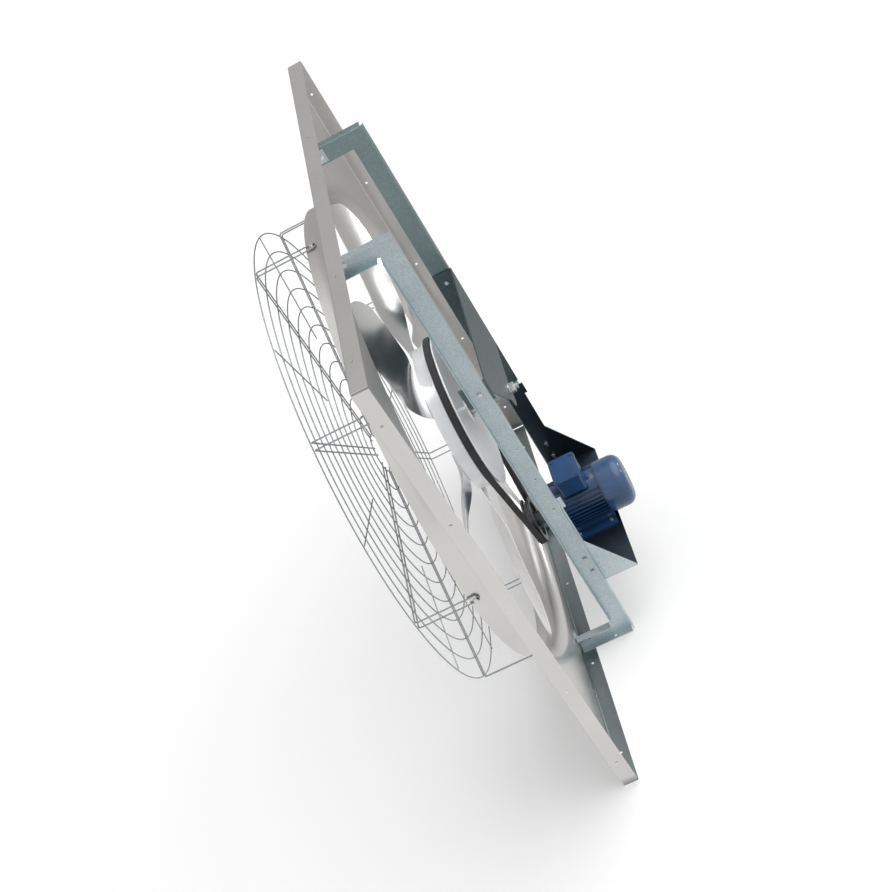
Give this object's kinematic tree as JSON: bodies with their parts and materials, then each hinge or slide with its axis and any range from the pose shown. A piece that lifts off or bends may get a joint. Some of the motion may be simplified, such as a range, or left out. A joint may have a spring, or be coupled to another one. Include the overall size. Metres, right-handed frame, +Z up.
{
  "type": "whole house fan",
  "caption": "Belt-driven whole house fan: square pressed panel with a bell mouth, drum-pulley propeller, bridge beams, finned motor on a folded tray, and a wire guard.",
  "frame": {"origin": "where the fan axis meets the panel's wall face", "axes": "+Y along the fan axis, the way the air leaves; +Z up; +X to the right seen from the motor side"},
  "size_m": [1.38, 0.503, 1.38],
  "materials": {
    "panel_sheet": "satin pale warm grey coated sheet",
    "galvanised_sheet": "spangled galvanised sheet",
    "zinc_fasteners": "bright zinc plating",
    "spindle_steel": "turned steel",
    "dark_fasteners": "black oxide",
    "bearing_steel": "ground steel",
    "drum_aluminium": "polished aluminium",
    "blade_steel": "polished stainless steel",
    "belt_rubber": "black fabric-faced rubber",
    "pulley_iron": "dark phosphated iron",
    "core_steel": "stacked laminations",
    "winding": "varnished copper and laminations",
    "motor_blue": "satin blue paint",
    "cowl_blue": "satin blue paint on sheet",
    "black_plastic": "black moulded plastic",
    "guard_wire": "galvanised wire"
  },
  "bodies": {
    "frame": {"panel": "panel_sheet", "foot_angles": "galvanised_sheet", "foot_screws": "zinc_fasteners", "beam_left": "galvanised_sheet", "beam_right": "galvanised_sheet", "hub_support": "galvanised_sheet", "support_screws": "zinc_fasteners", "spindle": "spindle_steel", "spindle_washer": "zinc_fasteners", "spindle_nut": "dark_fasteners", "spindle_circlip": "dark_fasteners", "v_belt": "belt_rubber", "tray_bolts": "zinc_fasteners", "guard_rings": "guard_wire", "guard_spokes": "guard_wire", "guard_pairs": "guard_wire", "guard_screws": "zinc_fasteners"},
    "propeller": {"drum_pulley": "drum_aluminium", "front_bearing": "bearing_steel", "rear_bearing": "bearing_steel", "bearing_spacer": "spindle_steel", "blade_1": "blade_steel", "blade_2": "blade_steel", "blade_3": "blade_steel", "blade_4": "blade_steel", "blade_5": "blade_steel", "blade_6": "blade_steel", "blade_bolts": "zinc_fasteners"},
    "motor_carriage": {"motor_tray": "galvanised_sheet", "motor_frame": "motor_blue", "stator": "winding", "drive_shield": "motor_blue", "fan_shield": "motor_blue", "drive_bearing": "bearing_steel", "fan_bearing": "bearing_steel", "shield_screws": "zinc_fasteners", "fan_cowl": "cowl_blue", "terminal_box": "motor_blue", "terminal_lid": "motor_blue", "lid_screws": "zinc_fasteners", "cable_gland": "black_plastic", "foot_bolts": "zinc_fasteners"},
    "motor_rotor": {"motor_shaft": "spindle_steel", "rotor_core": "core_steel", "cooling_fan": "black_plastic", "motor_pulley": "pulley_iron", "pulley_key": "spindle_steel", "pulley_screw": "dark_fasteners"}
  },
  "joints": [
    {"name": "propeller_spin", "type": "hinge", "parent": "frame", "child": "propeller", "pos_m": [0, 0, 0], "axis": [0, 1, 0], "continuous": true},
    {"name": "carriage_slide", "type": "slide", "parent": "frame", "child": "motor_carriage", "axis": [0, 0, 1], "range_m": [0, 0.012]},
    {"name": "motor_spin", "type": "hinge", "parent": "motor_carriage", "child": "motor_rotor", "pos_m": [0, 0, -0.425], "axis": [0, 1, 0], "continuous": true}
  ],
  "couplings": [
    {"joint": "motor_spin", "follows": "propeller_spin", "ratio": 3.1935}
  ]
}
